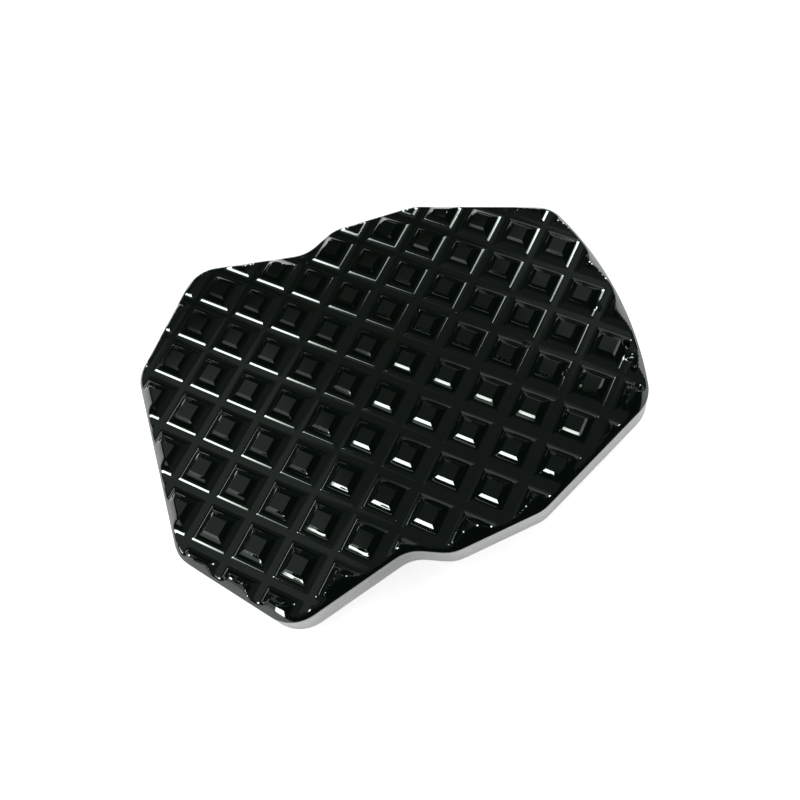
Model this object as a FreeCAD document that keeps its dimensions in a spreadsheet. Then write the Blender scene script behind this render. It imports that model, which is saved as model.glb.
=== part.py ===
# Kickstand pad: a broad foot that is clamped under a motorcycle's side stand.
# The ground face points up (+Z) and the clamp side lies down, as it would lie on a bench.
# The origin is under the middle of the plate, on the plane that the clamp frame rests on.
# +X runs along the plate towards its bowed nose and +Y across it. Sizes are in millimetres.
import FreeCAD, Part
import Sketcher
import math
import os

DIMENSIONS = [
    # Plan of the plate: each corner's distance from the middle, along and across the plate
    ("tail_x", 43.9, "flat tail end, behind the middle"),
    ("tail_half", 18.1, "half length of the flat tail end"),
    ("lobe_x", 28.75, "widest corner of the lobe, behind the middle"),
    ("lobe_half", 36.6, "half width over the lobes' sharp corners"),
    ("waist_x", 7.25, "bottom of the waist notch, behind the middle"),
    ("waist_half", 31.2, "half width at the waist notch"),
    ("shoulder_x", 0.65, "front corner of the waist notch, behind the middle"),
    ("shoulder_half", 34.45, "half width at that corner"),
    ("flank_x", 15.8, "front end of the nearly straight flank"),
    ("flank_half", 33.3, "half width there"),
    ("nose_x", 40.25, "nose corner, ahead of the middle"),
    ("nose_half", 22.1, "half width at the nose corners"),
    ("nose_radius", 68.7, "radius of the bowed nose"),
    ("corner_radius", 6.5, "rounding of every corner of the plan"),
    # Tread plate
    ("tread_base", 1.0, "sheet left under the grooves"),
    ("groove_depth", 1.5, "height of the studs above the groove floor"),
    ("tread_pitch", 8.0, "distance from groove to groove"),
    ("tread_angle", 45.0, "angle of the grooves to the plate's length"),
    ("left_shift", -0.88, "offset of the grooves that run forward to the left"),
    ("right_shift", -2.03, "offset of the grooves that run forward to the right"),
    ("stud_top", 2.95, "width of a stud's flat top"),
    ("stud_edge_run", 0.22, "width of the eased edge round a stud's top"),
    ("stud_edge_drop", 0.16, "drop of that eased edge"),
    ("groove_floor", 0.95, "width of the groove's flat floor"),
    ("groove_foot_run", 0.55, "width of the shallow foot on each side of the floor"),
    ("groove_foot_rise", 0.2, "rise of that foot"),
    ("rim_run", 1.4, "width of the bevel round the tread, in plan"),
    ("rim_land", 0.3, "upright edge left below that bevel"),
    # Body plate
    ("body_thickness", 6.0, "height of the machined body plate"),
    ("body_edge", 0.4, "bevel round its clamp side"),
    ("pocket_length", 52.0, "foot pocket, along the plate"),
    ("pocket_width", 38.0, "foot pocket, across the plate"),
    ("pocket_radius", 12.0, "corner radius of the foot pocket"),
    ("pocket_floor", 1.5, "body left above the foot pocket"),
    # Clamp frame
    ("frame_thickness", 5.0, "height of the clamp frame"),
    ("frame_rim", 9.0, "how far the frame reaches past the pocket all round"),
    ("frame_radius", 14.0, "outer corner radius of the clamp frame"),
    ("frame_edge", 0.6, "bevel round the frame's outer face"),
    ("lip_width", 5.0, "how far the frame laps over the rim of the pocket"),
    ("leg_slot", 22.0, "width of the gap that the stand's leg comes through"),
    # Clamp screws
    ("screw_diameter", 5.0, "shank"),
    ("screw_wall", 2.4, "body left between a threaded hole and the pocket"),
    ("screw_cover", 0.8, "body left above the screws' tips"),
    ("thread_spare", 0.3, "depth of the threaded holes past those tips"),
    ("screw_tip", 0.5, "bevel at the shank's tip"),
    ("head_diameter", 10.0, "countersunk head, at its widest"),
    ("head_rim", 0.3, "eased edge of the head, as a height and as a width"),
    ("head_sink", 0.2, "how far the head lies below the frame's face"),
    ("socket_size", 3.0, "hexagon socket, across flats"),
    ("socket_depth", 1.9, "hexagon socket, depth"),
    ("hole_clearance", 0.25, "gap round the shank in the frame, on each side"),
    ("thread_clearance", 0.05, "gap round the shank in its threaded hole, on each side"),
    ("sink_clearance", 0.1, "gap round the countersunk head, on each side"),
]

doc = FreeCAD.newDocument("kickstand_pad")
sheet = doc.addObject("Spreadsheet::Sheet", "dims")
for row, (alias, value, meaning) in enumerate(DIMENSIONS, start=1):
    sheet.set(f"A{row}", alias)
    sheet.set(f"B{row}", str(value))
    sheet.set(f"C{row}", meaning)
    sheet.setAlias(f"B{row}", alias)
doc.recompute()

# Sizes that follow from the ones above, as formulas of the sheet's names
BODY_BASE = "dims.frame_thickness"
TREAD_BASE = "dims.frame_thickness + dims.body_thickness"
TREAD_THICKNESS = "(dims.tread_base + dims.groove_depth)"
PLATE_REACH = "sqrt(dims.tail_x ^ 2 + dims.lobe_half ^ 2)"
GROOVES_PER_SIDE = f"ceil({PLATE_REACH} / dims.tread_pitch)"
FRAME_LENGTH = "(dims.pocket_length + 2 * dims.frame_rim)"
FRAME_WIDTH = "(dims.pocket_width + 2 * dims.frame_rim)"
HEAD_RADIUS = "dims.head_diameter / 2"
SHANK_RADIUS = "dims.screw_diameter / 2"
THREAD_RADIUS = f"({SHANK_RADIUS} + dims.thread_clearance)"
SCREW_TIP = "(dims.frame_thickness + dims.body_thickness - dims.screw_cover)"
# Each screw stands off its corner of the pocket at 45 degrees
SCREW_STANDOFF = f"((dims.pocket_radius + dims.screw_wall + {THREAD_RADIUS}) / sqrt(2))"
SCREW_X = f"(dims.pocket_length / 2 - dims.pocket_radius + {SCREW_STANDOFF})"
SCREW_Y = f"(dims.pocket_width / 2 - dims.pocket_radius + {SCREW_STANDOFF})"
# The head widens at 45 degrees, so its gap and its sink below the face both widen the cone
SINK_RADIUS = f"({HEAD_RADIUS} + dims.head_rim + dims.head_sink + dims.sink_clearance)"

UP = FreeCAD.Vector(0, 0, 1)
QUARTERS = [(1, 1), (-1, 1), (-1, -1), (1, -1)]


def worth(formula):
    # The number that a formula of the sheet's names gives
    return float(sheet.evalExpression(formula))


def point(x, y):
    return FreeCAD.Vector(worth(x), worth(y), 0)


def bind(thing, **formulas):
    for name, formula in formulas.items():
        thing.setExpression(name, formula)


def new_body(name, base="0"):
    # A sub-part whose lower face lies at the base height
    body = doc.addObject("PartDesign::Body", name)
    body.Label = name
    body.setExpression("Placement.Base.z", base)
    return body


def new_sketch(body, name, role="XY_Plane", **offset):
    # A sketch on one of the body's own planes, moved by formulas for the offset's x, y, z
    sketch = body.newObject("Sketcher::SketchObject", name)
    plane = next(item for item in body.Origin.OriginFeatures if item.Role == role)
    sketch.AttachmentSupport = (plane, "")
    sketch.MapMode = "FlatFace"
    for axis, formula in offset.items():
        sketch.setExpression(f"AttachmentOffset.Base.{axis}", formula)
    return sketch


def new_feature(body, kind, name, **values):
    feature = body.newObject(f"PartDesign::{kind}", name)
    for key, value in values.items():
        setattr(feature, key, value)
    return feature


def cut_upwards(body, name, plan, depth):
    # Cuts the plan into the body from its lower face
    pocket = new_feature(body, "Pocket", name, Profile=plan, Reversed=True)
    bind(pocket, Length=depth)
    doc.recompute()
    return pocket


def constrain(sketch, name, formula, kind, *where):
    # Adds a dimension of the sketch that follows a formula
    number = sketch.addConstraint(Sketcher.Constraint(kind, *where, worth(formula)))
    sketch.renameConstraint(number, name)
    sketch.setExpression(f"Constraints.{name}", formula)


def relate(sketch, kind, *where):
    sketch.addConstraint(Sketcher.Constraint(kind, *where))


def place_point(sketch, name, geometry, end, x, y):
    # Holds one point of a line or circle at x and y from the sketch's origin
    constrain(sketch, f"{name}_along", x, "DistanceX", -1, 1, geometry, end)
    constrain(sketch, f"{name}_across", y, "DistanceY", -1, 1, geometry, end)


def add_lines(sketch, points, closed=False):
    # Straight lines joined end to end
    ends = points[1:] + points[:1] if closed else points[1:]
    lines = [sketch.addGeometry(Part.LineSegment(a, b)) for a, b in zip(points, ends)]
    for one, other in zip(lines, lines[1:] + lines[:1] if closed else lines[1:]):
        relate(sketch, "Coincident", one, 2, other, 1)
    return lines


def add_polygon(sketch, corners):
    # A closed run of straight lines through named corners: (name, x, y)
    lines = add_lines(sketch, [point(x, y) for name, x, y in corners], closed=True)
    for line, (name, x, y) in zip(lines, corners):
        place_point(sketch, name, line, 1, x, y)


def add_plate_outline(sketch):
    # Lobed plan, symmetric about X: a flat tail, two lobes, two waists and a bowed nose
    corners = [
        ("tail", "-dims.tail_x", "dims.tail_half"),
        ("lobe", "-dims.lobe_x", "dims.lobe_half"),
        ("waist", "-dims.waist_x", "dims.waist_half"),
        ("shoulder", "-dims.shoulder_x", "dims.shoulder_half"),
        ("flank", "dims.flank_x", "dims.flank_half"),
        ("nose", "dims.nose_x", "dims.nose_half"),
    ]
    left_points = [point(x, y) for name, x, y in corners]
    right_points = [FreeCAD.Vector(corner.x, -corner.y, 0) for corner in left_points]
    left = add_lines(sketch, left_points)
    right = add_lines(sketch, right_points)
    tail = sketch.addGeometry(Part.LineSegment(left_points[0], right_points[0]))
    relate(sketch, "Coincident", tail, 1, left[0], 1)
    relate(sketch, "Coincident", tail, 2, right[0], 1)
    radius, half = worth("dims.nose_radius"), worth("dims.nose_half")
    centre = FreeCAD.Vector(worth("dims.nose_x") - math.sqrt(radius ** 2 - half ** 2), 0, 0)
    reach = math.asin(half / radius)
    nose = sketch.addGeometry(Part.ArcOfCircle(Part.Circle(centre, UP, radius), -reach, reach))
    relate(sketch, "Coincident", nose, 1, right[-1], 2)
    relate(sketch, "Coincident", nose, 2, left[-1], 2)
    constrain(sketch, "nose_radius", "dims.nose_radius", "Radius", nose)
    starts = [(line, 1) for line in range(len(left))] + [(len(left) - 1, 2)]
    for (name, x, y), (line, end) in zip(corners, starts):
        place_point(sketch, name, left[line], end, x, y)
        relate(sketch, "Symmetric", left[line], end, right[line], end, -1)


def add_rounded_rectangle(sketch, length, width, radius):
    # Four corner arcs about the sketch's origin, joined by four lines
    x, y, corner = worth(length) / 2, worth(width) / 2, worth(radius)
    arcs = []
    for number, (sx, sy) in enumerate(QUARTERS):
        centre = FreeCAD.Vector(sx * (x - corner), sy * (y - corner), 0)
        start = number * math.pi / 2
        arc = Part.ArcOfCircle(Part.Circle(centre, UP, corner), start, start + math.pi / 2)
        arcs.append(sketch.addGeometry(arc))
    lines = []
    for one, other in zip(arcs, arcs[1:] + arcs[:1]):
        start = sketch.Geometry[one].EndPoint
        end = sketch.Geometry[other].StartPoint
        line = sketch.addGeometry(Part.LineSegment(start, end))
        relate(sketch, "Tangent", one, 2, line, 1)
        relate(sketch, "Tangent", line, 2, other, 1)
        lines.append(line)
    top, tail, bottom, nose = lines
    relate(sketch, "Horizontal", top)
    relate(sketch, "Vertical", tail)
    relate(sketch, "Horizontal", bottom)
    relate(sketch, "Vertical", nose)
    for arc in arcs[1:]:
        relate(sketch, "Equal", arcs[0], arc)
    relate(sketch, "Symmetric", arcs[0], 3, arcs[2], 3, -1, 1)
    constrain(sketch, "length", length, "DistanceX", tail, 1, nose, 1)
    constrain(sketch, "width", width, "DistanceY", bottom, 1, top, 1)
    constrain(sketch, "radius", radius, "Radius", arcs[0])


def add_screw_circles(sketch, diameter):
    # One circle on each of the four screw axes
    x, y, radius = worth(SCREW_X), worth(SCREW_Y), worth(diameter) / 2
    circles = []
    for sx, sy in QUARTERS:
        circle = Part.Circle(FreeCAD.Vector(sx * x, sy * y, 0), UP, radius)
        circles.append(sketch.addGeometry(circle))
    for circle in circles[1:]:
        relate(sketch, "Equal", circles[0], circle)
    place_point(sketch, "screw", circles[0], 3, SCREW_X, SCREW_Y)
    relate(sketch, "Symmetric", circles[0], 3, circles[1], 3, -2)
    relate(sketch, "Symmetric", circles[1], 3, circles[2], 3, -1)
    relate(sketch, "Symmetric", circles[0], 3, circles[3], 3, -1)
    constrain(sketch, "diameter", diameter, "Diameter", circles[0])


def add_hexagon(sketch, across_flats):
    # A hexagon about the sketch's origin, held by the circle through its corners
    across_corners = f"2 * {across_flats} / sqrt(3)"
    radius = worth(across_corners) / 2
    turns = [number * math.pi / 3 for number in range(6)]
    corners = [FreeCAD.Vector(radius * math.cos(a), radius * math.sin(a), 0) for a in turns]
    ring = sketch.addGeometry(Part.Circle(FreeCAD.Vector(), UP, radius), True)
    relate(sketch, "Coincident", ring, 3, -1, 1)
    constrain(sketch, "across_corners", across_corners, "Diameter", ring)
    lines = add_lines(sketch, corners, closed=True)
    for line in lines:
        relate(sketch, "PointOnObject", line, 1, ring)
    for line in lines[1:]:
        relate(sketch, "Equal", lines[0], line)
    relate(sketch, "PointOnObject", lines[0], 1, -1)


def edges_where(feature, test):
    return [f"Edge{n}" for n, edge in enumerate(feature.Shape.Edges, start=1) if test(edge)]


def edges_at(feature, height):
    # The edges of a feature that lie flat at one height of its body
    def lies_there(edge):
        box = edge.BoundBox
        return max(abs(box.ZMin - height), abs(box.ZMax - height)) < 1e-4
    return edges_where(feature, lies_there)


def upright_edges(feature):
    def stands_up(edge):
        box = edge.BoundBox
        return box.ZLength > 1e-3 and max(box.XLength, box.YLength) < 1e-3
    return edges_where(feature, stands_up)


def add_plate_blank(body, thickness):
    # The lobed plan, padded and with its upright corners rounded
    outline = new_sketch(body, f"{body.Name}_plan")
    add_plate_outline(outline)
    pad = new_feature(body, "Pad", f"{body.Name}_pad", Profile=outline)
    bind(pad, Length=thickness)
    doc.recompute()
    rounding = new_feature(body, "Fillet", f"{body.Name}_corners")
    rounding.Base = (pad, upright_edges(pad))
    bind(rounding, Radius="dims.corner_radius")
    doc.recompute()
    return rounding


def add_groove_row(body, name, angle, shift):
    # One straight groove at an angle to the plate, repeated over the whole tread
    section = new_sketch(body, f"{name}_section", role="XZ_Plane", y=TREAD_THICKNESS)
    section.setExpression("AttachmentOffset.Rotation.Axis.y", "1")
    section.setExpression("AttachmentOffset.Rotation.Axis.z", "0")
    section.setExpression("AttachmentOffset.Rotation.Angle", angle)
    first = f"({shift} - dims.tread_pitch * {GROOVES_PER_SIDE})"
    mouth = "((dims.tread_pitch - dims.stud_top) / 2)"
    floor = "(dims.groove_floor / 2)"
    half_section = [
        ("mouth", mouth, "0"),
        ("edge", f"({mouth} - dims.stud_edge_run)", "-dims.stud_edge_drop"),
        ("foot", f"({floor} + dims.groove_foot_run)", "dims.groove_foot_rise - dims.groove_depth"),
        ("floor", floor, "-dims.groove_depth"),
    ]
    right = [(f"right_{corner}", f"{first} + {x}", y) for corner, x, y in half_section]
    left = [(f"left_{corner}", f"{first} - {x}", y) for corner, x, y in reversed(half_section)]
    add_polygon(section, right + left)
    groove = new_feature(body, "Pocket", f"{name}_groove", Profile=section)
    groove.Type = "ThroughAll"
    groove.Midplane = True
    doc.recompute()
    row = new_feature(body, "LinearPattern", f"{name}_grooves", Originals=[groove])
    row.Direction = (section, ["H_Axis"])
    steps = f"2 * {GROOVES_PER_SIDE}"
    bind(row, Occurrences=f"{steps} + 1", Length=f"dims.tread_pitch * {steps}")
    body.Tip = row
    doc.recompute()


def make_tread_plate():
    # Square studs left standing between two crossing rows of grooves, with a bevelled rim
    body = new_body("tread_plate", TREAD_BASE)
    blank = add_plate_blank(body, TREAD_THICKNESS)
    rim = new_feature(body, "Chamfer", "rim_bevel", ChamferType="Two distances")
    rim.Base = (blank, edges_at(blank, worth(TREAD_THICKNESS)))
    bind(rim, Size=f"{TREAD_THICKNESS} - dims.rim_land", Size2="dims.rim_run")
    doc.recompute()
    add_groove_row(body, "left", "dims.tread_angle", "dims.left_shift")
    add_groove_row(body, "right", "-dims.tread_angle", "dims.right_shift")
    return body


def make_body_plate():
    # Machined plate with the pocket for the stand's foot and four threaded holes
    body = new_body("body_plate", BODY_BASE)
    blank = add_plate_blank(body, "dims.body_thickness")
    edge = new_feature(body, "Chamfer", "body_bevel")
    edge.Base = (blank, edges_at(blank, 0))
    bind(edge, Size="dims.body_edge")
    pocket_plan = new_sketch(body, "pocket_plan")
    add_rounded_rectangle(pocket_plan, "dims.pocket_length", "dims.pocket_width", "dims.pocket_radius")
    cut_upwards(body, "foot_pocket", pocket_plan, "dims.body_thickness - dims.pocket_floor")
    thread_plan = new_sketch(body, "thread_plan")
    add_screw_circles(thread_plan, f"2 * {THREAD_RADIUS}")
    reach = f"{SCREW_TIP} - dims.frame_thickness + dims.thread_spare"
    cut_upwards(body, "threaded_holes", thread_plan, reach)
    return body


def make_clamp_frame():
    # Frame that traps the stand's foot in its pocket, open at the tail for the leg
    body = new_body("clamp_frame")
    plan = new_sketch(body, "frame_plan")
    add_rounded_rectangle(plan, FRAME_LENGTH, FRAME_WIDTH, "dims.frame_radius")
    pad = new_feature(body, "Pad", "frame_pad", Profile=plan)
    bind(pad, Length="dims.frame_thickness")
    window_plan = new_sketch(body, "window_plan")
    window_length = "(dims.pocket_length - 2 * dims.lip_width)"
    window_width = "(dims.pocket_width - 2 * dims.lip_width)"
    window_radius = "(dims.pocket_radius - dims.lip_width)"
    add_rounded_rectangle(window_plan, window_length, window_width, window_radius)
    cut_upwards(body, "window", window_plan, "dims.frame_thickness")
    slot_plan = new_sketch(body, "slot_plan")
    half, beyond = "dims.leg_slot / 2", f"-{FRAME_LENGTH}"
    slot_corners = [
        ("inner_left", "0", half),
        ("outer_left", beyond, half),
        ("outer_right", beyond, f"-{half}"),
        ("inner_right", "0", f"-{half}"),
    ]
    add_polygon(slot_plan, slot_corners)
    slot = cut_upwards(body, "leg_gap", slot_plan, "dims.frame_thickness")
    edge = new_feature(body, "Chamfer", "frame_bevel")
    edge.Base = (slot, edges_at(slot, 0))
    bind(edge, Size="dims.frame_edge")
    hole_plan = new_sketch(body, "screw_plan")
    bore = "dims.screw_diameter + 2 * dims.hole_clearance"
    add_screw_circles(hole_plan, bore)
    holes = new_feature(body, "Hole", "screw_holes", Profile=hole_plan)
    doc.recompute()
    holes.Reversed = True
    holes.DepthType = "ThroughAll"
    holes.HoleCutType = "Countersink"
    holes.HoleCutCountersinkAngle = 90
    bind(holes, Diameter=bore, HoleCutDiameter=f"2 * {SINK_RADIUS}")
    doc.recompute()
    return body


def make_clamp_screws():
    # One countersunk screw with a hexagon socket, mirrored onto the other three axes
    body = new_body("clamp_screw")
    axis = {"x": SCREW_X, "z": f"-{SCREW_Y}"}
    profile = new_sketch(body, "screw_profile", role="XZ_Plane", **axis)
    rim = "(dims.head_sink + dims.head_rim)"
    outline = [
        ("face_centre", "0", "dims.head_sink"),
        ("face_edge", f"{HEAD_RADIUS} - dims.head_rim", "dims.head_sink"),
        ("head_edge", HEAD_RADIUS, rim),
        ("neck", SHANK_RADIUS, f"{rim} + {HEAD_RADIUS} - {SHANK_RADIUS}"),
        ("shank_end", SHANK_RADIUS, f"{SCREW_TIP} - dims.screw_tip"),
        ("tip_edge", f"{SHANK_RADIUS} - dims.screw_tip", SCREW_TIP),
        ("tip_centre", "0", SCREW_TIP),
    ]
    add_polygon(profile, outline)
    turned = new_feature(body, "Revolution", "turned_screw", Profile=profile, Angle=360.0)
    turned.ReferenceAxis = (profile, ["V_Axis"])
    doc.recompute()
    face = {"x": SCREW_X, "y": SCREW_Y, "z": "dims.head_sink"}
    socket_plan = new_sketch(body, "socket_plan", **face)
    add_hexagon(socket_plan, "dims.socket_size")
    cut_upwards(body, "socket", socket_plan, "dims.socket_depth")
    pair = mirror_pair("screw_pair", body, FreeCAD.Vector(1, 0, 0))
    return mirror_pair("clamp_screws", pair, FreeCAD.Vector(0, 1, 0))


def mirror_pair(name, source, normal):
    # The source and its mirror image across a plane through the origin, as one group
    image = doc.addObject("Part::Mirroring", f"{name}_image")
    image.Source = source
    image.Normal = normal
    group = doc.addObject("Part::Compound", name)
    group.Label = name
    group.Links = [source, image]
    doc.recompute()
    return group


def check(pieces):
    # Nothing is written unless every feature worked and every sub-part is sound
    doc.recompute()
    for thing in doc.Objects:
        faults = {"Invalid", "Error"} & set(thing.State)
        if faults:
            raise RuntimeError(f"{thing.Name}: {faults}")
    for piece in pieces:
        if piece.Shape.isNull() or not piece.Shape.isValid():
            raise RuntimeError(f"{piece.Label} has no valid shape")


def export(pieces):
    os.makedirs("parts", exist_ok=True)
    for piece in pieces:
        piece.Shape.exportStep(f"parts/{piece.Label}.step")


pieces = [make_tread_plate(), make_body_plate(), make_clamp_frame(), make_clamp_screws()]
check(pieces)
export(pieces)
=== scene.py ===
import math

import bpy
import numpy as np
from mathutils import Matrix, Vector


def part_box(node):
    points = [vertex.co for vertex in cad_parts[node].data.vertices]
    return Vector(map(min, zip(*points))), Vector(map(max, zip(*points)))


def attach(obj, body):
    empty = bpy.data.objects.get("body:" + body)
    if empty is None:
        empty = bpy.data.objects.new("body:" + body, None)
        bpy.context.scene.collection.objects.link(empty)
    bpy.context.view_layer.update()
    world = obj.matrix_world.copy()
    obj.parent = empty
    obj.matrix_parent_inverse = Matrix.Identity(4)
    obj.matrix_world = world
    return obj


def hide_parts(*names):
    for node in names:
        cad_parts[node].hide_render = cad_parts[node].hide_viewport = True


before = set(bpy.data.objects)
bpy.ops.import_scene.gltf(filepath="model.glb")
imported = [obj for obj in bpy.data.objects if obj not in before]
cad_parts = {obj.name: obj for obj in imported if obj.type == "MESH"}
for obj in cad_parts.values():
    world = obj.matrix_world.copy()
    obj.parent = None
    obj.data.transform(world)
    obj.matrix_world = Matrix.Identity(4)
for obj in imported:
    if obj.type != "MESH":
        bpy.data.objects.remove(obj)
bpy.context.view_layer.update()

bl_info = {
    "name": "Kickstand pad",
    "version": (1, 0, 0),
    "blender": (4, 5, 0),
    "location": "3D View > Sidebar > Kickstand pad",
    "description": "Builds the finished surfaces, the lights and the camera of a kickstand pad",
    "category": "Object",
}

MM = 0.001
TREAD_LOW, TREAD_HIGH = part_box("tread_plate")


def length(name, description, default):
    return bpy.props.FloatProperty(
        name=name, description=description, default=default, min=0.0, unit="LENGTH", precision=5
    )


def share(name, description, default):
    return bpy.props.FloatProperty(
        name=name, description=description, default=default, min=0.0, max=1.0, subtype="FACTOR"
    )


def colour(name, description, default):
    return bpy.props.FloatVectorProperty(
        name=name, description=description, default=default, size=3, min=0.0, max=1.0,
        subtype="COLOR",
    )


class KPAD_PG_tread(bpy.types.PropertyGroup):
    pitch: length("Stud pitch", "Distance from groove to groove", 8.0 * MM)
    left_shift: bpy.props.FloatProperty(
        name="Left shift", description="Offset of the grooves that run forward to the left",
        default=-0.88 * MM, unit="LENGTH", precision=5,
    )
    right_shift: bpy.props.FloatProperty(
        name="Right shift", description="Offset of the grooves that run forward to the right",
        default=-2.03 * MM, unit="LENGTH", precision=5,
    )
    depth: length("Groove depth", "Height of the studs above the groove floor", 1.5 * MM)
    base: length("Sheet", "Sheet left under the grooves", 1.0 * MM)
    foot: length("Foot", "From a groove's middle to the fillet at a stud's foot", 0.52 * MM)
    bank: length("Bank", "From a groove's middle to the straight bank", 1.81 * MM)
    facet: length("Facet", "From a groove's middle to the steeper facet", 2.2 * MM)
    facet_rise: length("Facet rise", "Height of the steeper facet", 0.496 * MM)
    top: length("Top edge", "From a groove's middle to the edge of a stud's top", 2.62 * MM)
    edge_round: length("Edge rounding", "Height of the rounding of the top edge", 0.01 * MM)
    hip_round: length("Hip rounding", "Height of the rounding of a stud's corners", 0.03 * MM)
    land: length("Land", "Upright edge of the tread plate", 0.3 * MM)
    rim_run: length("Rim width", "Width of the bevel round the tread, in plan", 2.2 * MM)
    rim_swell: bpy.props.FloatProperty(
        name="Rim swell", description="How far the bevel swells out, where 1 is a straight bevel",
        default=1.25, min=1.0, max=3.0,
    )
    coat: colour("Coat", "Colour of the gloss coat", (0.0009, 0.0032, 0.0019))
    roughness: share("Coat roughness", "Roughness of the gloss coat", 0.06)


class KPAD_PG_metal(bpy.types.PropertyGroup):
    edge: length("Broken edges", "Width of the small bevel on machined edges", 0.12 * MM)
    aluminium: colour("Aluminium", "Colour of the bare machined aluminium", (0.50, 0.505, 0.51))
    screw_x: length("Screws lengthwise", "From the middle to the screws' axes in X", 25.985 * MM)
    screw_y: length("Screws crosswise", "From the middle to the screws' axes in Y", 18.985 * MM)
    steel: colour("Steel", "Colour of the screws", (0.62, 0.61, 0.60))
    roughness: share("Milled roughness", "Roughness of the milled faces", 0.26)


class KPAD_PG_stage(bpy.types.PropertyGroup):
    floor: colour("Floor", "Colour of the floor", (0.86, 0.86, 0.86))
    ambient: share("Ambient", "Brightness of the surroundings", 0.55)
    lens: bpy.props.FloatProperty(
        name="Lens", description="Focal length on a sensor 36 mm wide", default=40.5, unit="CAMERA"
    )


def settings():
    return bpy.context.scene.kpad_tread, bpy.context.scene.kpad_metal, bpy.context.scene.kpad_stage


# Handling of objects

# Points closer than this gap are one, and faces that turn by less than this angle in degrees
WELD_GAP = 0.001 * MM
FLAT_ANGLE = 0.5


def deselect():
    if bpy.context.object and bpy.context.object.mode != "OBJECT":
        bpy.ops.object.mode_set(mode="OBJECT")
    bpy.ops.object.select_all(action="DESELECT")


def activate(thing):
    deselect()
    thing.select_set(True)
    bpy.context.view_layer.objects.active = thing


def edit(thing, select="FACE"):
    activate(thing)
    bpy.ops.object.mode_set(mode="EDIT")
    bpy.ops.mesh.select_mode(type=select)
    bpy.ops.mesh.select_all(action="DESELECT")


def select_only(thing, kind, chosen):
    # Enters edit mode with just the chosen vertices or faces selected, given as one flag each
    edit(thing, kind)
    bpy.ops.object.mode_set(mode="OBJECT")
    parts = thing.data.vertices if kind == "VERT" else thing.data.polygons
    parts.foreach_set("select", chosen)
    bpy.ops.object.mode_set(mode="EDIT")


def places(thing):
    # The mesh's vertices, one row of coordinates each
    numbers = np.empty(len(thing.data.vertices) * 3)
    thing.data.vertices.foreach_get("co", numbers)
    return numbers.reshape(-1, 3)


def set_places(thing, rows):
    thing.data.vertices.foreach_set("co", rows.ravel())


def copy_of(node, name):
    # The CAD node's mesh as a piece of its own, with its triangles joined and flat faces whole
    activate(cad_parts[node])
    bpy.ops.object.duplicate()
    piece = bpy.context.object
    piece.name = piece.data.name = name
    piece.data.materials.clear()
    edit(piece)
    bpy.ops.mesh.select_all(action="SELECT")
    bpy.ops.mesh.remove_doubles(threshold=WELD_GAP)
    bpy.ops.mesh.dissolve_limited(angle_limit=math.radians(FLAT_ANGLE))
    bpy.ops.object.mode_set(mode="OBJECT")
    return piece


def smooth(piece, angle):
    activate(piece)
    bpy.ops.object.shade_smooth_by_angle(angle=math.radians(angle))


def finish_piece(piece, node, material):
    piece.data.materials.clear()
    piece.data.materials.append(material)
    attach(piece, "root")
    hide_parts(node)


# Shader nodes


def put(tree, kind, **values):
    # A node with its settings and its inputs' values, both given by name
    node = tree.nodes.new(kind)
    for key, value in values.items():
        if hasattr(node, key):
            setattr(node, key, value)
        else:
            set_input(tree, node.inputs[key.replace("_", " ")], value)
    return node


def set_input(tree, socket, value):
    if isinstance(value, bpy.types.NodeSocket):
        tree.links.new(value, socket)
    elif socket.type == "RGBA":
        socket.default_value = (*value, 1.0)
    elif socket.type == "VECTOR":
        socket.default_value = tuple(value)
    else:
        socket.default_value = value


def math_node(tree, operation, *values):
    node = tree.nodes.new("ShaderNodeMath")
    node.operation = operation
    for socket, value in zip(node.inputs, values):
        set_input(tree, socket, value)
    return node.outputs[0]


def plus(tree, total, value, factor):
    # The total plus the value times the factor
    return math_node(tree, "ADD", total, math_node(tree, "MULTIPLY", value, factor))


def remap(tree, value, low, high, to_low=0.0, to_high=1.0):
    node = tree.nodes.new("ShaderNodeMapRange")
    for socket, number in zip(node.inputs, (value, low, high, to_low, to_high)):
        set_input(tree, socket, number)
    return node.outputs["Result"]


def ray_kinds(tree):
    # Two masks: the camera's own rays, and the rays that a surface mirrored or let through
    path = tree.nodes.new("ShaderNodeLightPath")
    mirrored, passed = path.outputs["Is Glossy Ray"], path.outputs["Is Transmission Ray"]
    return path.outputs["Is Camera Ray"], math_node(tree, "MAXIMUM", mirrored, passed)


def new_group(name, inputs, outputs):
    # A node group with inputs (name, default), a float or a vector, and outputs (name, socket type)
    group = bpy.data.node_groups.new(name, "ShaderNodeTree")
    for label, default in inputs:
        kind = "NodeSocketFloat" if isinstance(default, float) else "NodeSocketVector"
        socket = group.interface.new_socket(label, in_out="INPUT", socket_type=kind)
        socket.default_value = default
    for label, kind in outputs:
        group.interface.new_socket(label, in_out="OUTPUT", socket_type=kind)
    return group, group.nodes.new("NodeGroupInput"), group.nodes.new("NodeGroupOutput")


def make_specks():
    # Sparse round specks: a mask that is 1 on a speck
    group, given, made = new_group(
        "Specks", [("Cell", 2.5 * MM), ("Share", 0.1), ("Size", 0.06)],
        [("Mask", "NodeSocketFloat")],
    )
    place = put(group, "ShaderNodeTexCoord")
    cells = put(group, "ShaderNodeTexVoronoi", Vector=place.outputs["Object"])
    group.links.new(math_node(group, "DIVIDE", 1.0, given.outputs["Cell"]), cells.inputs["Scale"])
    near = math_node(group, "LESS_THAN", cells.outputs["Distance"], given.outputs["Size"])
    draw = put(group, "ShaderNodeSeparateColor", Color=cells.outputs["Color"])
    chosen = math_node(group, "LESS_THAN", draw.outputs[0], given.outputs["Share"])
    group.links.new(math_node(group, "MULTIPLY", near, chosen), made.inputs["Mask"])
    return group


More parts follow.
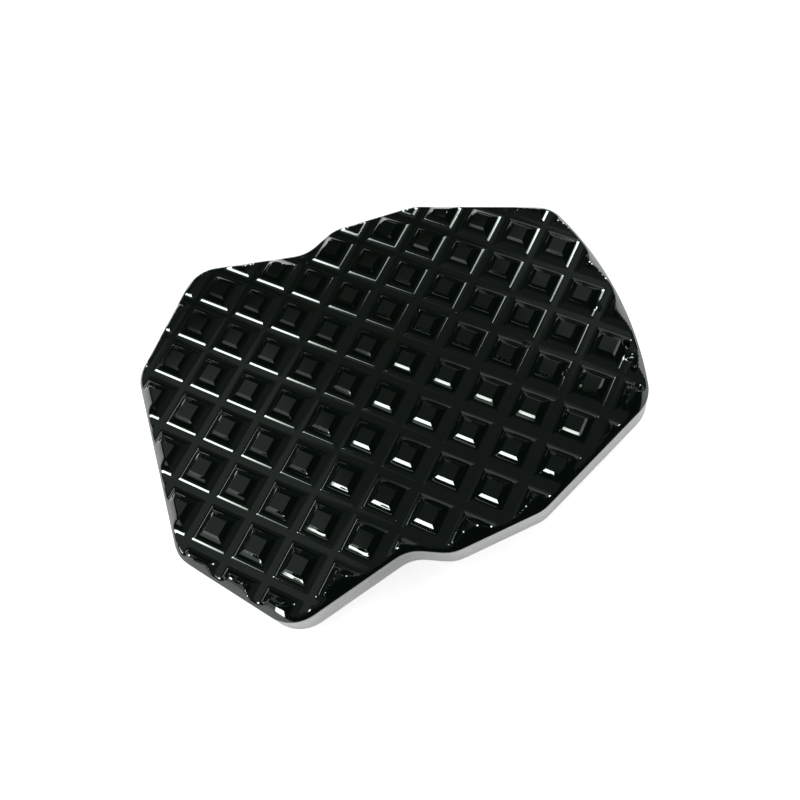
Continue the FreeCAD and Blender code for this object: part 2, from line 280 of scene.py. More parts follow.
def make_tool_lines():
    # Fine parallel lines left by a cutter: a height that changes fast across the lines only
    group, given, made = new_group(
        "Tool lines", [("Spacing", 0.15 * MM), ("Run", 25.0 * MM), ("Across", 0.0)],
        [("Height", "NodeSocketFloat")],
    )
    place = put(group, "ShaderNodeTexCoord")
    parts = put(group, "ShaderNodeSeparateXYZ", Vector=place.outputs["Object"])
    upright = math_node(group, "SUBTRACT", 1.0, given.outputs["Across"])
    along = math_node(group, "DIVIDE", 1.0, given.outputs["Run"])
    fine = math_node(group, "DIVIDE", 1.0, given.outputs["Spacing"])
    across = given.outputs["Across"]
    y_scale = plus(group, math_node(group, "MULTIPLY", fine, across), along, upright)
    z_scale = plus(group, math_node(group, "MULTIPLY", fine, upright), along, across)
    stretched = put(
        group, "ShaderNodeCombineXYZ",
        X=math_node(group, "MULTIPLY", parts.outputs["X"], along),
        Y=math_node(group, "MULTIPLY", parts.outputs["Y"], y_scale),
        Z=math_node(group, "MULTIPLY", parts.outputs["Z"], z_scale),
    )
    noise = put(group, "ShaderNodeTexNoise", Vector=stretched.outputs[0], Scale=1.0, Detail=3.0)
    group.links.new(noise.outputs[0], made.inputs["Height"])
    return group


def make_turned_rings():
    # Fine rings round four upright axes that lie evenly about the middle of the part
    group, given, made = new_group(
        "Turned rings", [("Spacing", 0.2 * MM), ("Axis_x", 26.0 * MM), ("Axis_y", 19.0 * MM)],
        [("Height", "NodeSocketFloat")],
    )
    place = put(group, "ShaderNodeTexCoord")
    parts = put(group, "ShaderNodeSeparateXYZ", Vector=place.outputs["Object"])
    away = [
        math_node(group, "SUBTRACT", math_node(group, "ABSOLUTE", parts.outputs[axis]),
                  given.outputs["Axis_" + axis.lower()])
        for axis in "XY"
    ]
    squares = [math_node(group, "MULTIPLY", one, one) for one in away]
    radius = math_node(group, "SQRT", math_node(group, "ADD", *squares))
    turns = math_node(group, "DIVIDE", radius, given.outputs["Spacing"])
    spot = put(group, "ShaderNodeCombineXYZ", X=turns)
    noise = put(group, "ShaderNodeTexNoise", Vector=spot.outputs[0], Scale=1.0, Detail=1.0)
    group.links.new(noise.outputs[0], made.inputs["Height"])
    return group


# Least cosine between a direction and a card's middle at which the card can be seen
CARD_FACING = 0.05


def make_studio_panel():
    # A bright card that gloss reflects: 1 inside a rectangle round a direction, fading at its edge
    group, given, made = new_group(
        "Studio panel",
        [("Look", (0.0, 0.0, 1.0)), ("Middle", (0.0, 0.0, 1.0)), ("Along", (1.0, 0.0, 0.0)),
         ("Across", (0.0, 1.0, 0.0)), ("Half_along", 0.2), ("Half_across", 0.2), ("Edge", 0.05)],
        [("Mask", "NodeSocketFloat")],
    )

    def share_along(axis):
        product = put(group, "ShaderNodeVectorMath", operation="DOT_PRODUCT")
        group.links.new(given.outputs["Look"], product.inputs[0])
        group.links.new(given.outputs[axis], product.inputs[1])
        return product.outputs["Value"]

    depth = share_along("Middle")
    inside = math_node(group, "GREATER_THAN", depth, CARD_FACING)
    for axis, half in (("Along", "Half_along"), ("Across", "Half_across")):
        away = math_node(group, "ABSOLUTE", math_node(group, "DIVIDE", share_along(axis), depth))
        room = math_node(group, "SUBTRACT", given.outputs[half], away)
        fade = put(group, "ShaderNodeMapRange", interpolation_type="SMOOTHSTEP", Value=room)
        group.links.new(given.outputs["Edge"], fade.inputs["From Max"])
        inside = math_node(group, "MULTIPLY", inside, fade.outputs["Result"])
    group.links.new(inside, made.inputs["Mask"])
    return group


def new_material(name):
    material = bpy.data.materials.new(name)
    material.use_nodes = True
    tree = material.node_tree
    tree.nodes.clear()
    shader = tree.nodes.new("ShaderNodeBsdfPrincipled")
    result = tree.nodes.new("ShaderNodeOutputMaterial")
    tree.links.new(shader.outputs[0], result.inputs["Surface"])
    return material, tree, shader


def group_node(tree, group, **values):
    node = tree.nodes.new("ShaderNodeGroup")
    node.node_tree = group
    for key, value in values.items():
        set_input(tree, node.inputs[key], value)
    return node


# Spans of a noise's values that are stretched to a full swing
WIDE_SPAN, MIDDLE_SPAN, NARROW_SPAN = (0.2, 0.8), (0.3, 0.7), (0.35, 0.65)

# The coat: its orange peel, the haze that makes it clearer and hazier in places, its dust, and
# how it reflects
PEEL_SCALE = 900.0
PEEL_DEPTH = 0.02 * MM
PEEL_STRENGTH = 0.15
HAZE_SCALE = 120.0
CLEAR_SHARE = 0.8
HAZY_SHARE = 1.3
DUST = {"Cell": 1.9 * MM, "Share": 0.05, "Size": 0.045}
DUST_COLOUR = (0.25, 0.25, 0.25)
COAT_IOR = 1.5
COAT_GLINT = (0.76, 1.0, 0.85)
CLEAR_ROUGHNESS = 0.05
# The upright part of the surface's normal where the clear layer starts, and where it is full
CLEAR_FROM, CLEAR_FULL = 0.58, 0.63


def gloss_coat(tread):
    # Near-black coat: deep gloss with a faint orange peel and a few specks of dust, under a
    # clear layer that the steep bevel goes without
    material, tree, shader = new_material("gloss_black_coat")
    place = put(tree, "ShaderNodeTexCoord")
    spot = place.outputs["Object"]
    peel = put(tree, "ShaderNodeTexNoise", Vector=spot, Scale=PEEL_SCALE, Detail=2.0)
    haze = put(tree, "ShaderNodeTexNoise", Vector=spot, Scale=HAZE_SCALE, Detail=4.0)
    dust = group_node(tree, bpy.data.node_groups["Specks"], **DUST)
    mix = put(tree, "ShaderNodeMix", data_type="RGBA", Factor=dust.outputs["Mask"])
    mix.inputs["A"].default_value = (*tread.coat, 1.0)
    mix.inputs["B"].default_value = (*DUST_COLOUR, 1.0)
    tree.links.new(mix.outputs["Result"], shader.inputs["Base Color"])
    clear, hazy = tread.roughness * CLEAR_SHARE, tread.roughness * HAZY_SHARE
    rough = remap(tree, haze.outputs[0], *MIDDLE_SPAN, clear, hazy)
    tree.links.new(rough, shader.inputs["Roughness"])
    bump = put(
        tree, "ShaderNodeBump", Strength=PEEL_STRENGTH, Distance=PEEL_DEPTH, Height=peel.outputs[0]
    )
    tree.links.new(bump.outputs[0], shader.inputs["Normal"])
    shader.inputs["IOR"].default_value = COAT_IOR
    shader.inputs["Specular Tint"].default_value = (*COAT_GLINT, 1.0)
    upright = put(tree, "ShaderNodeSeparateXYZ", Vector=place.outputs["Normal"]).outputs["Z"]
    tree.links.new(remap(tree, upright, CLEAR_FROM, CLEAR_FULL), shader.inputs["Coat Weight"])
    shader.inputs["Coat Roughness"].default_value = CLEAR_ROUGHNESS
    return material


# Bare metal: its pits, how far its tint and roughness swing about the mean, and its marks' depth
PITS = {"Cell": 3.1 * MM, "Share": 0.10, "Size": 0.06}
PIT_COLOUR = (0.03, 0.03, 0.03)
DARK_TINT, LIGHT_TINT = 0.55, 1.25
ROUGH_LOW, ROUGH_HIGH = 0.8, 1.25
MARK_DEPTH = 0.012 * MM
MARK_STRENGTH = 0.4


def milled_metal(name, tint, roughness, marks, patches):
    # Bare metal under a cutter's marks, in lighter and darker patches and with small dark pits
    material, tree, shader = new_material(name)
    spot = put(tree, "ShaderNodeTexCoord").outputs["Object"]
    broad = put(tree, "ShaderNodeTexNoise", Vector=spot, Scale=patches, Detail=3.0)
    pits = group_node(tree, bpy.data.node_groups["Specks"], **PITS)
    shade = put(tree, "ShaderNodeMix", data_type="RGBA")
    height = marks(tree)
    fine = math_node(tree, "MULTIPLY", remap(tree, height, *MIDDLE_SPAN), 0.5)
    level = plus(tree, fine, remap(tree, broad.outputs[0], *NARROW_SPAN), 0.5)
    tree.links.new(level, shade.inputs["Factor"])
    shade.inputs["A"].default_value = (*[part * DARK_TINT for part in tint], 1.0)
    shade.inputs["B"].default_value = (*[min(part * LIGHT_TINT, 1.0) for part in tint], 1.0)
    dark = put(tree, "ShaderNodeMix", data_type="RGBA", Factor=pits.outputs["Mask"])
    tree.links.new(shade.outputs["Result"], dark.inputs["A"])
    dark.inputs["B"].default_value = (*PIT_COLOUR, 1.0)
    tree.links.new(dark.outputs["Result"], shader.inputs["Base Color"])
    rough = remap(tree, height, *WIDE_SPAN, roughness * ROUGH_HIGH, roughness * ROUGH_LOW)
    tree.links.new(rough, shader.inputs["Roughness"])
    bump = put(
        tree, "ShaderNodeBump", Strength=MARK_STRENGTH, Distance=MARK_DEPTH, Height=height
    )
    tree.links.new(bump.outputs[0], shader.inputs["Normal"])
    shader.inputs["Metallic"].default_value = 1.0
    return material


def straight_marks(spacing, run, across):
    # Marks of a straight cut: lines that lie flat on the walls, or along the part where across is 1
    def add(tree):
        group = bpy.data.node_groups["Tool lines"]
        node = group_node(tree, group, Spacing=spacing, Run=run, Across=across)
        return node.outputs["Height"]

    return add


def turned_marks(spacing, axis_x, axis_y):
    # Marks of a lathe round four upright axes
    def add(tree):
        group = bpy.data.node_groups["Turned rings"]
        node = group_node(tree, group, Spacing=spacing, Axis_x=axis_x, Axis_y=axis_y)
        return node.outputs["Height"]

    return add


# The tread's shape

# How much of a way along X or Y lies across the slanting grooves
SLANT = math.sqrt(0.5)
# Spacing of the outline's points, and how many neighbours on each side a point is averaged with
OUTLINE_STEP = 0.25 * MM
OUTLINE_SPREAD = 2
# The bevel: how many narrow steps it has, and where they end and where they stop turning, both
# in its own widths
BEVEL_STEPS = 12
BEVEL_REACH = 1.22
BEVEL_BEND = 0.8
# How far the grid stays clear of the bevel, and the height over which studs melt into the bevel
GRID_MARGIN = 0.12 * MM
BEVEL_BLEND = 0.22 * MM
# Angles in degrees above which an edge shows: in the waffle, and in the strip beside the bevel
WAFFLE_ANGLE = 14.0
STRIP_ANGLE = 20.0
# Where the line of a facet ends, in its own widths, after the rounded top edge has cut it off
FACET_OVERRUN = 1.5
# What stands for a blend over no height at all
LEAST_BLEND = 1e-9


def outline_of(node):
    # The node's lower face as one ring of corners in order
    piece = copy_of(node, "outline")
    floor = min(vertex.co.z for vertex in piece.data.vertices)
    face = max(
        (face for face in piece.data.polygons if abs(face.center.z - floor) < WELD_GAP),
        key=lambda face: face.area,
    )
    ring = [piece.data.vertices[number].co.xy.copy() for number in reversed(face.vertices)]
    bpy.data.objects.remove(piece)
    return np.array(ring)


def resampled(ring, step, spread):
    # Evenly spaced points along a closed ring, each averaged with its neighbours
    closed = np.vstack([ring, ring[:1]])
    travel = np.concatenate([[0.0], np.cumsum(np.linalg.norm(np.diff(closed, axis=0), axis=1))])
    count = int(travel[-1] / step)
    marks = np.linspace(0.0, travel[-1], count, endpoint=False)
    points = np.column_stack([np.interp(marks, travel, closed[:, axis]) for axis in (0, 1)])
    shifts = range(-spread, spread + 1)
    return sum(np.roll(points, shift, axis=0) for shift in shifts) / len(shifts)


def depth_inside(points, ring):
    # Distance of each point from the ring, positive inside
    starts, ends = ring, np.roll(ring, -1, axis=0)
    nearest = np.full(len(points), np.inf)
    crossings = np.zeros(len(points), int)
    for start, end in zip(starts, ends):
        run = end - start
        along = np.clip((points - start) @ run / (run @ run), 0.0, 1.0)
        gap = np.linalg.norm(points - start - along[:, None] * run, axis=1)
        nearest = np.minimum(nearest, gap)
        spans = (start[1] > points[:, 1]) != (end[1] > points[:, 1])
        rise = np.where(run[1] == 0.0, 1.0, run[1])
        crossings += spans & (points[:, 0] < start[0] + (points[:, 1] - start[1]) * run[0] / rise)
    return np.where(crossings % 2 == 1, nearest, -nearest)


def soft_min(one, other, blend):
    # The lower of two heights, rounded where they meet over the height given as blend
    blend = np.maximum(blend, LEAST_BLEND)
    mixed = np.maximum(blend - np.abs(one - other), 0.0) / blend
    return np.minimum(one, other) - mixed * mixed * blend / 4


def bank_height(across, tread):
    # Height above the groove floor at a distance from the nearest groove's middle: a fillet
    # that steepens evenly, a straight bank, and a slightly steeper facet up to the top edge
    fillet_run = tread.bank - tread.foot
    bank_run = tread.facet - tread.bank
    steep = (tread.depth - tread.facet_rise) / (fillet_run / 2 + bank_run)
    fillet = np.clip((across - tread.foot) / fillet_run, 0.0, 1.0)
    bank = np.clip(across - tread.bank, 0.0, bank_run)
    facet = np.clip((across - tread.facet) / (tread.top - tread.facet), 0.0, FACET_OVERRUN)
    rise = steep * (fillet * fillet * fillet_run / 2 + bank) + tread.facet_rise * facet
    return soft_min(rise, tread.depth, tread.edge_round)


# Runs, nicks and chips in the coat, in millimetres and degrees: middle in X and Y, half length,
# half width, turn, rise
COAT_FLAWS = [
    (25.3, -0.4, 0.9, 0.6, 20.0, 0.08),
    (25.0, -2.2, 1.3, 0.7, 80.0, 0.09),
    (24.7, -4.2, 0.9, 0.7, 130.0, 0.08),
    (28.7, -11.9, 0.8, 0.35, 40.0, -0.35),
    (39.1, -2.3, 0.8, 0.4, 110.0, -0.4),
    (40.8, -11.0, 0.9, 0.7, 75.0, -0.9),
    (40.2, -13.4, 1.5, 0.8, 100.0, -0.6),
    (39.9, -15.9, 0.8, 0.6, 60.0, 0.5),
    (39.2, -19.4, 1.3, 0.5, 95.0, -0.6),
    (-36.0, -5.0, 0.35, 0.35, 0.0, 0.25),
    (-34.1, -26.7, 0.35, 0.35, 0.0, 0.25),
    (-28.5, -32.3, 0.4, 0.3, 0.0, 0.25),
]


def tread_height(points, tread):
    # Height of the waffle above the groove floor, without the rim
    banks = []
    for sign, shift in ((1.0, tread.left_shift), (-1.0, tread.right_shift)):
        across = (points[:, 0] + sign * points[:, 1]) * SLANT - shift
        half = tread.pitch / 2
        banks.append(bank_height(np.abs((across + half) % tread.pitch - half), tread))
    level = (banks[0] + banks[1]) / 2 / tread.depth
    blend = tread.hip_round * 4.0 * level * (1.0 - level)
    height = soft_min(banks[0], banks[1], blend)
    for x, y, half_x, half_y, turn, rise in COAT_FLAWS:
        along = Vector((math.cos(math.radians(turn)), math.sin(math.radians(turn))))
        aside = points - np.array((x, y)) * MM
        lengthwise = (aside @ along) / (half_x * MM)
        crosswise = (aside @ along.orthogonal()) / (half_y * MM)
        reach = np.hypot(lengthwise, crosswise)
        height = height + rise * MM * np.clip(1.0 - reach * reach, 0.0, 1.0) ** 2
    return np.minimum(height, tread.depth)


# Lines of the modelling grid from a groove's middle to a stud's middle, in millimetres at the
# pitch given here
GRID_LINES = [
    0.0, 0.5, 0.68, 0.84, 1.0, 1.16, 1.34, 1.56, 1.81, 2.13, 2.2, 2.27, 2.62, 3.2, 4.0,
]
GRID_LINES_PITCH = 8.0


def add_rim(ring, tread):
    # The plate's edge: the underside, a land and the bevel in narrow steps, open at the top
    bpy.ops.mesh.primitive_circle_add(vertices=len(ring), fill_type="NGON")
    rim = bpy.context.object
    set_places(rim, np.column_stack([ring, np.full(len(ring), TREAD_LOW.z)]))
    bpy.ops.object.mode_set(mode="EDIT")
    bpy.ops.mesh.select_mode(type="FACE")
    bpy.ops.mesh.select_all(action="SELECT")
    bpy.ops.mesh.extrude_region_move(TRANSFORM_OT_translate={"value": (0, 0, tread.land)})
    drop = tread.base + tread.depth - tread.land
    reach = tread.rim_run * BEVEL_REACH
    marks = np.linspace(0.0, reach / tread.rim_run, BEVEL_STEPS + 1)
    heights = 1.0 - (1.0 - np.minimum(marks, BEVEL_BEND)) ** tread.rim_swell
    slope = tread.rim_swell * (1.0 - BEVEL_BEND) ** (tread.rim_swell - 1.0)
    heights += np.maximum(marks - BEVEL_BEND, 0.0) * slope
    for rise in np.diff(heights):
        bpy.ops.mesh.inset(thickness=reach / BEVEL_STEPS, depth=rise * drop)
    bpy.ops.mesh.delete(type="FACE")
    bpy.ops.object.mode_set(mode="OBJECT")
    return rim, reach


def add_grid(tread):
    # A square grid above the whole tread with its lines packed where the profile turns
    per_pitch = 2 * (len(GRID_LINES) - 1)
    reach = max(TREAD_HIGH.x, -TREAD_LOW.x) + max(TREAD_HIGH.y, -TREAD_LOW.y)
    pitches = math.ceil(reach * SLANT / tread.pitch)
    cells = 2 * pitches * per_pitch
    bpy.ops.mesh.primitive_grid_add(x_subdivisions=cells, y_subdivisions=cells, size=cells)
    grid = bpy.context.object
    steps = np.rint(places(grid)[:, :2]).astype(int)
    half = np.array(GRID_LINES) * MM * tread.pitch / (GRID_LINES_PITCH * MM)
    period = np.concatenate([half, tread.pitch - half[-2:0:-1]])
    spots = steps // per_pitch * tread.pitch + period[steps % per_pitch]
    along = spots[:, 0] + tread.right_shift
    across = spots[:, 1] + tread.left_shift
    x = (across + along) * SLANT
    y = (across - along) * SLANT
    set_places(grid, np.column_stack([x, y, np.full(len(x), TREAD_HIGH.z + tread.depth)]))
    fold_hips(grid, steps, per_pitch)
    return grid


def fold_hips(grid, steps, period):
    # Splits the quads on the studs' diagonals along the hip, so that each hip is a straight edge
    for rising in (True, False):
        faces = grid.data.polygons
        quads = np.array([face.index for face in faces if len(face.vertices) == 4])
        corners = np.array([faces[number].vertices for number in quads])
        low = steps[corners].min(axis=1) % period
        partner = low[:, 1] if rising else period - 1 - low[:, 1]
        turn = steps[corners[0, 2]] - steps[corners[0, 0]]
        method = "FIXED" if (turn[0] * turn[1] > 0) == rising else "FIXED_ALTERNATE"
        on_hip = np.zeros(len(faces), bool)
        on_hip[quads[low[:, 0] == partner]] = True
        select_only(grid, "FACE", on_hip)
        bpy.ops.mesh.quads_convert_to_tris(quad_method=method)
        bpy.ops.object.mode_set(mode="OBJECT")


def keep_inside(grid, ring, margin):
    # Deletes the grid's vertices that lie outside the ring or within the margin of it
    select_only(grid, "VERT", depth_inside(places(grid)[:, :2], ring) < margin)
    bpy.ops.mesh.delete(type="VERT")
    bpy.ops.object.mode_set(mode="OBJECT")


def join_grid(rim, grid):
    # Makes one mesh of rim and grid and fills the strip between them with small faces. Gives
    # the number of the first vertex that the strip has for itself.
    activate(rim)
    grid.select_set(True)
    bpy.ops.object.join()
    edit(rim, "EDGE")
    bpy.ops.mesh.select_non_manifold(
        extend=False, use_wire=False, use_boundary=True, use_multi_face=False,
        use_non_contiguous=False, use_verts=False,
    )
    bpy.ops.mesh.fill(use_beauty=True)
    bpy.ops.mesh.select_mode(type="FACE")
    bpy.ops.object.mode_set(mode="OBJECT")
    first_new = len(rim.data.vertices)
    bpy.ops.object.mode_set(mode="EDIT")
    bpy.ops.mesh.subdivide(number_cuts=1)
    bpy.ops.object.mode_set(mode="OBJECT")
    return first_new


def press_waffle(rim, tread):
    # Presses all but the underside down to the waffle, and lets the waffle melt into the bevel
    rows = places(rim)
    upper = rows[:, 2] > TREAD_LOW.z + tread.land / 2
    waffle = TREAD_LOW.z + tread.base + tread_height(rows[upper, :2], tread)
    rows[upper, 2] = soft_min(waffle, rows[upper, 2], BEVEL_BLEND)
    set_places(rim, rows)


def soften_strip(rim, first_new):
    # Clears the sharp edges between the strip's small faces, but keeps real corners
    select_only(rim, "FACE", [max(face.vertices) >= first_new for face in rim.data.polygons])
    bpy.ops.mesh.select_mode(type="EDGE")
    bpy.ops.mesh.mark_sharp(clear=True)
    bpy.ops.mesh.select_all(action="DESELECT")
    bpy.ops.mesh.edges_select_sharp(sharpness=math.radians(STRIP_ANGLE))
    bpy.ops.mesh.mark_sharp()
    bpy.ops.object.mode_set(mode="OBJECT")


class KPAD_OT_tread(bpy.types.Operator):
    """Models the coated tread: square studs on faceted banks inside a bevelled rim"""

    bl_idname = "kickstand_pad.tread"
    bl_label = "Tread plate"

    def execute(self, context):
        tread = settings()[0]
        ring = outline_of("tread_plate")
        deselect()
        rim, reach = add_rim(resampled(ring, OUTLINE_STEP, OUTLINE_SPREAD), tread)
        rim.name = rim.data.name = "coated_tread"
        deselect()
        grid = add_grid(tread)
        keep_inside(grid, ring, reach + GRID_MARGIN)
        first_new = join_grid(rim, grid)
        press_waffle(rim, tread)
        edit(rim)
        bpy.ops.mesh.select_all(action="SELECT")
        bpy.ops.mesh.normals_make_consistent(inside=False)
        smooth(rim, WAFFLE_ANGLE)
        soften_strip(rim, first_new)
        finish_piece(rim, "tread_plate", gloss_coat(tread))
        return {"FINISHED"}


# The metal's edges: angle in degrees above which one is broken, by a bevel in this many steps,
# and the angle above which one still shows after that
BROKEN_ANGLE = 25.0
BROKEN_STEPS = 2
METAL_ANGLE = 18.0


def dress(node, material, edge):
    # A copy of the CAD node with its sharp edges broken, in its finish
    piece = copy_of(node, f"finished_{node}")
    bevel = piece.modifiers.new("broken_edges", "BEVEL")
    bevel.width = edge
    bevel.segments = BROKEN_STEPS
    bevel.limit_method = "ANGLE"
    bevel.angle_limit = math.radians(BROKEN_ANGLE)
    activate(piece)
    bpy.ops.object.modifier_apply(modifier=bevel.name)
    smooth(piece, METAL_ANGLE)
    finish_piece(piece, node, material)


class KPAD_OT_body(bpy.types.Operator):
    """Dresses the machined body plate, with cutter lines round its wall"""

    bl_idname = "kickstand_pad.body"
    bl_label = "Body plate"

    def execute(self, context):
        metal = settings()[1]
        marks = straight_marks(spacing=0.35 * MM, run=30.0 * MM, across=0.0)
        material = milled_metal(
            "milled_body", metal.aluminium, metal.roughness, marks, patches=60.0
        )
        dress("body_plate", material, metal.edge)
        return {"FINISHED"}


class KPAD_OT_clamp(bpy.types.Operator):
    """Dresses the clamp frame, brushed along its length"""

    bl_idname = "kickstand_pad.clamp"
    bl_label = "Clamp frame"

    def execute(self, context):
        metal = settings()[1]
        marks = straight_marks(spacing=0.16 * MM, run=18.0 * MM, across=1.0)
        material = milled_metal(
            "milled_frame", metal.aluminium, metal.roughness, marks, patches=90.0
        )
        dress("clamp_frame", material, metal.edge)
        return {"FINISHED"}


class KPAD_OT_screws(bpy.types.Operator):
    """Dresses the clamp screws, turned on a lathe"""

    bl_idname = "kickstand_pad.screws"
    bl_label = "Clamp screws"

    def execute(self, context):
        metal = settings()[1]
        marks = turned_marks(spacing=0.2 * MM, axis_x=metal.screw_x, axis_y=metal.screw_y)
        material = milled_metal(
            "screw_steel", metal.steel, metal.roughness, marks, patches=150.0
        )
        dress("clamp_screws", material, metal.edge / 2)
        return {"FINISHED"}


# The stage

# Where the lens stood over the plate, and the point of the groove floor it looked at
EYE = Vector((1.253, -74.199, 155.453)) * MM
AIM = Vector((11.587, 0.142, 12.0)) * MM
CAMERA_ROLL = math.radians(-13.495)
LENS_SHIFT = (-0.0625, -0.0625)
SENSOR_WIDTH = 36.0
CLIP_START = 1.0 * MM

# The floor, and how brightly it shows to the camera and in a mirroring surface
FLOOR_SIZE = 3.0
FLOOR_ROUGHNESS = 0.9
FLOOR_SEEN, FLOOR_MIRRORED = 0.66, 0.3

# The room as gloss sees it: dim all round, brighter overhead and low down at the far side. A
# ramp starts at its first value and is full at its second.
ROOM_LEVEL = 0.015
CEILING_RAMP, CEILING_LEVEL = (0.45, 0.7), 0.075
FAR_RAMP, LOW_RAMP, FAR_LEVEL = (0.1, 0.5), (0.16, 0.06), 0.45

# The studio's cards as gloss sees them: middle, long axis, half length, half width, soft edge,
# level
PANELS = [
    ((-0.535, 0.232, 0.812), (-0.686, -0.686, -0.242), 0.21, 0.17, 0.07, 14.0),
    ((0.590, 0.186, 0.693), (0.586, -0.586, -0.559), 0.25, 0.13, 0.06, 14.0),
    ((-0.821, -0.562, 0.105), (-0.085, -0.085, -0.993), 0.105, 0.18, 0.02, 14.0),
    ((-0.826, -0.443, 0.350), (0.569, -0.655, 0.497), 0.12, 0.035, 0.02, 0.9),
    ((-0.92, -0.39, 0.06), (0.0, 0.0, 1.0), 0.17, 0.20, 0.07, 0.55),
    ((-0.555, 0.725, 0.400), (0.0, 0.0, 1.0), 0.06, 0.10, 0.04, 4.2),
    ((0.557, 0.663, 0.50), (0.0, 0.0, 1.0), 0.36, 0.26, 0.10, 0.45),
    ((-0.24, 0.38, 0.89), (1.0, 0.0, 0.0), 0.17, 0.20, 0.07, 0.15),
    ((0.24, 0.46, 0.86), (1.0, 0.0, 0.0), 0.11, 0.12, 0.07, 0.13),
    ((0.00, 0.61, 0.79), (1.0, 0.0, 0.0), 0.25, 0.08, 0.04, -0.05),
]

# The lamps: name, direction from the tread's middle, distance, side, radiance
LAMPS = [
    ("left_softbox", (-0.585, 0.177, 0.791), 0.6, 0.20, 5.0),
    ("right_softbox", (0.638, 0.139, 0.758), 0.6, 0.16, 5.0),
]


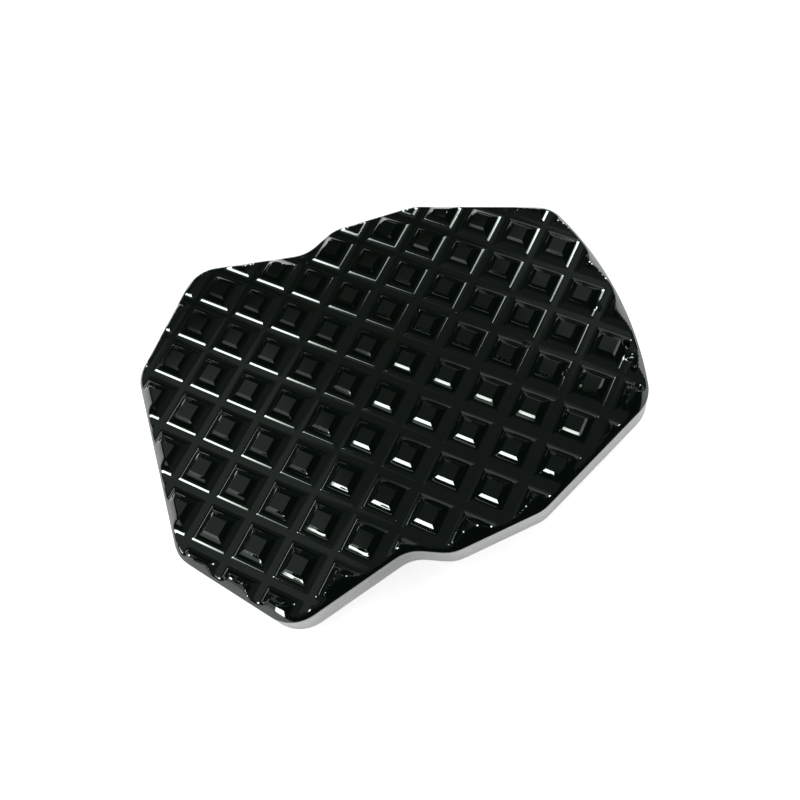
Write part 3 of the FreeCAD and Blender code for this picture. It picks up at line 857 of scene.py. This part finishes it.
class KPAD_OT_stage(bpy.types.Operator):
    """Sets the floor, the surroundings, the lamps and the camera"""

    bl_idname = "kickstand_pad.stage"
    bl_label = "Stage"

    def execute(self, context):
        stage = settings()[2]
        self.add_floor(stage)
        self.add_world(stage)
        self.add_lamps()
        self.add_camera(stage)
        context.scene.view_settings.view_transform = "Standard"
        return {"FINISHED"}

    def add_floor(self, stage):
        deselect()
        bpy.ops.mesh.primitive_plane_add(size=FLOOR_SIZE)
        floor = bpy.context.object
        floor.name = "floor"
        material, tree, shader = new_material("white_floor")
        shader.inputs["Base Color"].default_value = (*stage.floor, 1.0)
        shader.inputs["Roughness"].default_value = FLOOR_ROUGHNESS
        direct, glossy = ray_kinds(tree)
        seen = math_node(tree, "MULTIPLY", direct, FLOOR_SEEN)
        mirrored = math_node(tree, "MULTIPLY", glossy, FLOOR_MIRRORED)
        glow = math_node(tree, "MAXIMUM", seen, mirrored)
        shader.inputs["Emission Color"].default_value = (1.0, 1.0, 1.0, 1.0)
        tree.links.new(glow, shader.inputs["Emission Strength"])
        floor.data.materials.append(material)

    def add_world(self, stage):
        world = bpy.data.worlds.new("studio")
        bpy.context.scene.world = world
        world.use_nodes = True
        tree = world.node_tree
        tree.nodes.clear()
        look = put(tree, "ShaderNodeTexCoord").outputs["Generated"]
        parts = put(tree, "ShaderNodeSeparateXYZ", Vector=look)
        far = remap(tree, parts.outputs["Y"], *FAR_RAMP)
        low = remap(tree, parts.outputs["Z"], *LOW_RAMP)
        high = remap(tree, parts.outputs["Z"], *CEILING_RAMP)
        room = plus(tree, ROOM_LEVEL, high, CEILING_LEVEL)
        room = plus(tree, room, math_node(tree, "MULTIPLY", far, low), FAR_LEVEL)
        panel = bpy.data.node_groups["Studio panel"]
        for centre, along, half_along, half_across, edge, level in PANELS:
            middle = Vector(centre).normalized()
            long_axis = (Vector(along) - middle * middle.dot(Vector(along))).normalized()
            mask = group_node(tree, panel, Look=look, Middle=middle, Along=long_axis,
                              Across=middle.cross(long_axis), Half_along=half_along,
                              Half_across=half_across, Edge=edge)
            room = plus(tree, room, mask.outputs["Mask"], level)
        direct, glossy = ray_kinds(tree)
        strength = plus(tree, direct, glossy, room)
        rest = math_node(tree, "SUBTRACT", 1.0, math_node(tree, "MAXIMUM", glossy, direct))
        strength = plus(tree, strength, rest, stage.ambient)
        background = put(tree, "ShaderNodeBackground", Color=(1.0, 1.0, 1.0), Strength=strength)
        result = tree.nodes.new("ShaderNodeOutputWorld")
        tree.links.new(background.outputs[0], result.inputs["Surface"])

    def add_lamps(self):
        centre = Vector((0, 0, TREAD_HIGH.z))
        for name, direction, distance, side, radiance in LAMPS:
            away = Vector(direction).normalized()
            deselect()
            bpy.ops.object.light_add(type="AREA", location=centre + away * distance)
            lamp = bpy.context.object
            lamp.name = name
            lamp.rotation_euler = away.to_track_quat("Z", "Y").to_euler()
            lamp.data.shape = "SQUARE"
            lamp.data.size = side
            lamp.data.energy = radiance * math.pi * side * side

    def add_camera(self, stage):
        deselect()
        bpy.ops.object.camera_add(location=EYE)
        camera = bpy.context.object
        look = (AIM - EYE).to_track_quat("-Z", "Y").to_matrix()
        camera.rotation_euler = (look @ Matrix.Rotation(CAMERA_ROLL, 3, "Z")).to_euler()
        camera.data.lens = stage.lens
        camera.data.sensor_width = SENSOR_WIDTH
        camera.data.shift_x, camera.data.shift_y = LENS_SHIFT
        camera.data.clip_start = CLIP_START
        bpy.context.scene.camera = camera


class KPAD_PT_panel(bpy.types.Panel):
    """Lists the sizes, the colours and the build steps of the kickstand pad"""

    bl_idname = "KPAD_PT_panel"
    bl_label = "Kickstand pad"
    bl_space_type = "VIEW_3D"
    bl_region_type = "UI"
    bl_category = "Kickstand pad"

    def draw(self, context):
        for group, operators in PANEL_ROWS:
            box = self.layout.box()
            values = getattr(context.scene, group)
            for key in values.bl_rna.properties.keys():
                if key not in ("rna_type", "name"):
                    box.prop(values, key)
            for operator in operators:
                box.operator(operator.bl_idname)


PANEL_ROWS = [
    ("kpad_tread", (KPAD_OT_tread,)),
    ("kpad_metal", (KPAD_OT_body, KPAD_OT_clamp, KPAD_OT_screws)),
    ("kpad_stage", (KPAD_OT_stage,)),
]
GROUPS = {"kpad_tread": KPAD_PG_tread, "kpad_metal": KPAD_PG_metal, "kpad_stage": KPAD_PG_stage}
CLASSES = (
    *GROUPS.values(), KPAD_OT_tread, KPAD_OT_body, KPAD_OT_clamp, KPAD_OT_screws, KPAD_OT_stage,
    KPAD_PT_panel,
)


def register():
    for item in CLASSES:
        bpy.utils.register_class(item)
    for name, group in GROUPS.items():
        setattr(bpy.types.Scene, name, bpy.props.PointerProperty(type=group))


def unregister():
    for name in GROUPS:
        delattr(bpy.types.Scene, name)
    for item in reversed(CLASSES):
        bpy.utils.unregister_class(item)


def main():
    register()
    make_specks()
    make_tool_lines()
    make_turned_rings()
    make_studio_panel()
    bpy.ops.kickstand_pad.tread()
    bpy.ops.kickstand_pad.body()
    bpy.ops.kickstand_pad.clamp()
    bpy.ops.kickstand_pad.screws()
    bpy.ops.kickstand_pad.stage()


if __name__ == "__main__":
    main()
